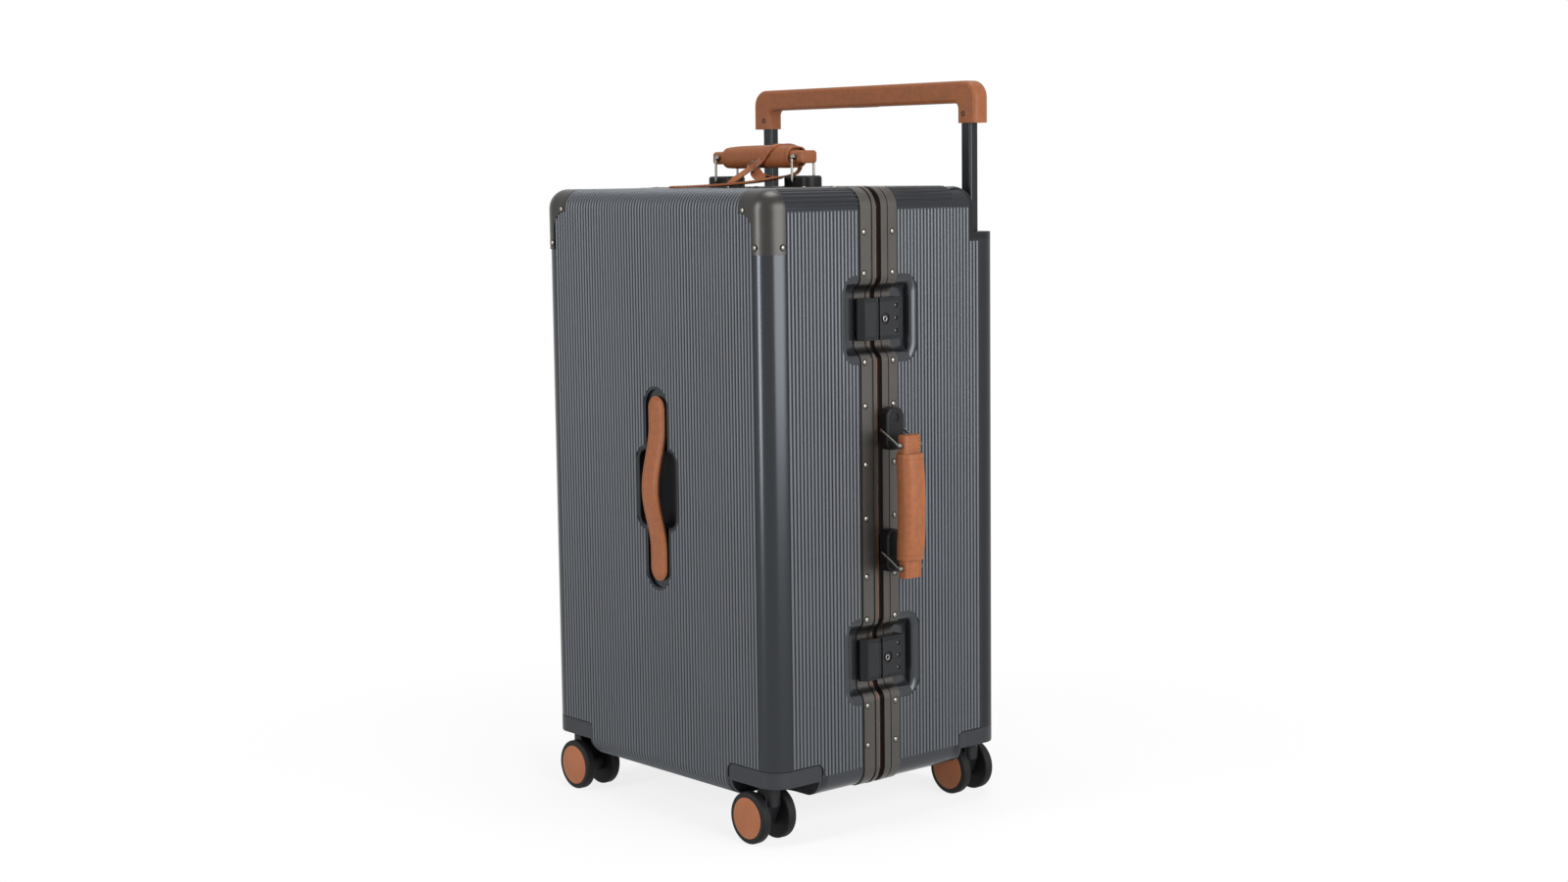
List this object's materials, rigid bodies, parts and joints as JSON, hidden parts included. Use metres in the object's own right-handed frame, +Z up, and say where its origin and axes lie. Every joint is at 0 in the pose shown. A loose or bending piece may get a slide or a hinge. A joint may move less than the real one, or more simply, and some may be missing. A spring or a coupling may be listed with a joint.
{
  "type": "trunk suitcase",
  "caption": "Upright ribbed trunk suitcase with a riveted metal frame, side latches, leather handles, pull-up trolley handle, luggage tag and twin swivel casters.",
  "frame": {"origin": "on the floor under the middle of the case, between its casters", "axes": "+Z up, +Y towards the back with the trolley, +X towards the locks and the side handle"},
  "size_m": [0.4878, 0.3785, 0.8606],
  "materials": {
    "shell": "satin, ribbed",
    "frame": "satin",
    "rivet": "satin",
    "seal": "matt",
    "guard": "satin",
    "housing": "matt",
    "black_plastic": "fine grain",
    "lock_metal": "satin",
    "lock_insert": "polished",
    "tube": "anodised",
    "leather": "smooth grain",
    "wire": "satin",
    "wheel": "matt",
    "fork": "satin",
    "lining": "woven",
    "webbing": "woven",
    "hinge": "satin"
  },
  "bodies": {
    "rear_half": {"rear_shell": "shell", "rear_frame": "frame", "rear_rivets": "rivet", "rear_lining": "lining", "packing_straps": "webbing", "handle_tray": "black_plastic", "trolley_rails": "housing", "rear_wheel_housings": "housing", "hinge_rear_leaves": "hinge", "rear_feet": "black_plastic", "top_handle_mounts": "black_plastic", "side_handle_mounts": "black_plastic", "lock_base_upper": "lock_metal", "lock_base_lower": "lock_metal", "luggage_tag": "leather", "tag_strap": "leather"},
    "lid": {"front_shell": "shell", "front_frame": "frame", "front_rivets": "rivet", "frame_seal": "seal", "front_lining": "lining", "corner_guards": "guard", "front_wheel_housings": "housing", "strap_handle": "leather", "strap_cup": "black_plastic", "hinge_lid_leaves": "hinge", "lock_strikes": "lock_metal", "lid_feet": "black_plastic"},
    "trolley": {"trolley_tubes": "tube", "trolley_grip": "leather"},
    "release_button": {"release_button": "black_plastic"},
    "top_bail_left": {"top_bail_left": "wire"},
    "top_bail_right": {"top_bail_right": "wire"},
    "top_grip": {"top_grip": "leather"},
    "side_bail_upper": {"side_bail_upper": "wire"},
    "side_bail_lower": {"side_bail_lower": "wire"},
    "side_grip": {"side_grip": "leather"},
    "latch_lower": {"latch_lever_lower": "lock_metal"},
    "key_lower": {"key_cylinder_lower": "lock_insert"},
    "dial_bottom_lower": {"dial_bottom_lower": "black_plastic"},
    "dial_middle_lower": {"dial_middle_lower": "black_plastic"},
    "dial_top_lower": {"dial_top_lower": "black_plastic"},
    "latch_upper": {"latch_lever_upper": "lock_metal"},
    "key_upper": {"key_cylinder_upper": "lock_insert"},
    "dial_bottom_upper": {"dial_bottom_upper": "black_plastic"},
    "dial_middle_upper": {"dial_middle_upper": "black_plastic"},
    "dial_top_upper": {"dial_top_upper": "black_plastic"},
    "caster_fork_front_left": {"caster_fork_front_left": "fork"},
    "wheel_front_left_near": {"wheel_front_left_near": "wheel"},
    "wheel_front_left_far": {"wheel_front_left_far": "wheel"},
    "caster_fork_front_right": {"caster_fork_front_right": "fork"},
    "wheel_front_right_near": {"wheel_front_right_near": "wheel"},
    "wheel_front_right_far": {"wheel_front_right_far": "wheel"},
    "caster_fork_rear_left": {"caster_fork_rear_left": "fork"},
    "wheel_rear_left_near": {"wheel_rear_left_near": "wheel"},
    "wheel_rear_left_far": {"wheel_rear_left_far": "wheel"},
    "caster_fork_rear_right": {"caster_fork_rear_right": "fork"},
    "wheel_rear_right_near": {"wheel_rear_right_near": "wheel"},
    "wheel_rear_right_far": {"wheel_rear_right_far": "wheel"}
  },
  "joints": [
    {"name": "lid_hinge", "type": "hinge", "parent": "rear_half", "child": "lid", "pos_m": [-0.2188, -0.01575, 0.393], "axis": [0, 0, -1], "range_deg": [0, 165]},
    {"name": "trolley_slide", "type": "slide", "parent": "rear_half", "child": "trolley", "axis": [0, 0, 1], "range_m": [-0.1273, 0.24]},
    {"name": "release_button_press", "type": "slide", "parent": "trolley", "child": "release_button", "axis": [0, 0, 1], "range_m": [0, 0.003], "stiffness_N_per_m": 600, "springref_m": -0.002},
    {"name": "top_bail_left_swing", "type": "hinge", "parent": "rear_half", "child": "top_bail_left", "pos_m": [-0.0705, -0.004, 0.7436], "axis": [0, 1, 0], "range_deg": [-31, 31]},
    {"name": "top_bail_right_swing", "type": "hinge", "parent": "rear_half", "child": "top_bail_right", "pos_m": [0.0705, -0.004, 0.7436], "axis": [0, 1, 0], "range_deg": [-31, 31]},
    {"name": "top_grip_swing", "type": "hinge", "parent": "top_bail_left", "child": "top_grip", "pos_m": [-0.0705, -0.004, 0.7736], "axis": [0, 1, 0], "range_deg": [-31, 31]},
    {"name": "side_bail_upper_lift", "type": "hinge", "parent": "rear_half", "child": "side_bail_upper", "pos_m": [0.2186, -0.004, 0.4635], "axis": [0, -1, 0], "range_deg": [0, 62]},
    {"name": "side_bail_lower_lift", "type": "hinge", "parent": "rear_half", "child": "side_bail_lower", "pos_m": [0.2186, -0.004, 0.3225], "axis": [0, -1, 0], "range_deg": [0, 62]},
    {"name": "side_grip_swing", "type": "hinge", "parent": "side_bail_upper", "child": "side_grip", "pos_m": [0.24834, -0.004, 0.44702], "axis": [0, -1, 0], "range_deg": [-62, 0]},
    {"name": "latch_lower_open", "type": "hinge", "parent": "rear_half", "child": "latch_lower", "pos_m": [0.2111, -0.0182, 0.197], "axis": [0, 0, 1], "range_deg": [0, 90]},
    {"name": "key_lower_turn", "type": "hinge", "parent": "rear_half", "child": "key_lower", "pos_m": [0.2135, -0.0075, 0.197], "axis": [1, 0, 0], "range_deg": [0, 90]},
    {"name": "dial_bottom_lower_turn", "type": "hinge", "parent": "rear_half", "child": "dial_bottom_lower", "pos_m": [0.2076, 0.0162, 0.1824], "axis": [0, 0, 1], "continuous": true},
    {"name": "dial_middle_lower_turn", "type": "hinge", "parent": "rear_half", "child": "dial_middle_lower", "pos_m": [0.2076, 0.0162, 0.197], "axis": [0, 0, 1], "continuous": true},
    {"name": "dial_top_lower_turn", "type": "hinge", "parent": "rear_half", "child": "dial_top_lower", "pos_m": [0.2076, 0.0162, 0.2116], "axis": [0, 0, 1], "continuous": true},
    {"name": "latch_upper_open", "type": "hinge", "parent": "rear_half", "child": "latch_upper", "pos_m": [0.2111, -0.0182, 0.589], "axis": [0, 0, 1], "range_deg": [0, 90]},
    {"name": "key_upper_turn", "type": "hinge", "parent": "rear_half", "child": "key_upper", "pos_m": [0.2135, -0.0075, 0.589], "axis": [1, 0, 0], "range_deg": [0, 90]},
    {"name": "dial_bottom_upper_turn", "type": "hinge", "parent": "rear_half", "child": "dial_bottom_upper", "pos_m": [0.2076, 0.0162, 0.5744], "axis": [0, 0, 1], "continuous": true},
    {"name": "dial_middle_upper_turn", "type": "hinge", "parent": "rear_half", "child": "dial_middle_upper", "pos_m": [0.2076, 0.0162, 0.589], "axis": [0, 0, 1], "continuous": true},
    {"name": "dial_top_upper_turn", "type": "hinge", "parent": "rear_half", "child": "dial_top_upper", "pos_m": [0.2076, 0.0162, 0.6036], "axis": [0, 0, 1], "continuous": true},
    {"name": "caster_front_left_swivel", "type": "hinge", "parent": "lid", "child": "caster_fork_front_left", "pos_m": [-0.181, -0.159, 0.06], "axis": [0, 0, 1], "continuous": true},
    {"name": "wheel_front_left_near_roll", "type": "hinge", "parent": "caster_fork_front_left", "child": "wheel_front_left_near", "pos_m": [-0.167, -0.17775, 0.03], "axis": [0, 1, 0], "continuous": true},
    {"name": "wheel_front_left_far_roll", "type": "hinge", "parent": "caster_fork_front_left", "child": "wheel_front_left_far", "pos_m": [-0.167, -0.14025, 0.03], "axis": [0, 1, 0], "continuous": true},
    {"name": "caster_front_right_swivel", "type": "hinge", "parent": "lid", "child": "caster_fork_front_right", "pos_m": [0.181, -0.159, 0.06], "axis": [0, 0, 1], "continuous": true},
    {"name": "wheel_front_right_near_roll", "type": "hinge", "parent": "caster_fork_front_right", "child": "wheel_front_right_near", "pos_m": [0.167, -0.17775, 0.03], "axis": [0, 1, 0], "continuous": true},
    {"name": "wheel_front_right_far_roll", "type": "hinge", "parent": "caster_fork_front_right", "child": "wheel_front_right_far", "pos_m": [0.167, -0.14025, 0.03], "axis": [0, 1, 0], "continuous": true},
    {"name": "caster_rear_left_swivel", "type": "hinge", "parent": "rear_half", "child": "caster_fork_rear_left", "pos_m": [-0.181, 0.159, 0.06], "axis": [0, 0, 1], "continuous": true},
    {"name": "wheel_rear_left_near_roll", "type": "hinge", "parent": "caster_fork_rear_left", "child": "wheel_rear_left_near", "pos_m": [-0.167, 0.14025, 0.03], "axis": [0, 1, 0], "continuous": true},
    {"name": "wheel_rear_left_far_roll", "type": "hinge", "parent": "caster_fork_rear_left", "child": "wheel_rear_left_far", "pos_m": [-0.167, 0.17775, 0.03], "axis": [0, 1, 0], "continuous": true},
    {"name": "caster_rear_right_swivel", "type": "hinge", "parent": "rear_half", "child": "caster_fork_rear_right", "pos_m": [0.181, 0.159, 0.06], "axis": [0, 0, 1], "continuous": true},
    {"name": "wheel_rear_right_near_roll", "type": "hinge", "parent": "caster_fork_rear_right", "child": "wheel_rear_right_near", "pos_m": [0.167, 0.14025, 0.03], "axis": [0, 1, 0], "continuous": true},
    {"name": "wheel_rear_right_far_roll", "type": "hinge", "parent": "caster_fork_rear_right", "child": "wheel_rear_right_far", "pos_m": [0.167, 0.17775, 0.03], "axis": [0, 1, 0], "continuous": true}
  ],
  "couplings": [
    {"joint": "top_bail_right_swing", "follows": "top_bail_left_swing", "ratio": 1},
    {"joint": "top_grip_swing", "follows": "top_bail_left_swing", "ratio": -1},
    {"joint": "side_bail_lower_lift", "follows": "side_bail_upper_lift", "ratio": 1},
    {"joint": "side_grip_swing", "follows": "side_bail_upper_lift", "ratio": -1}
  ]
}
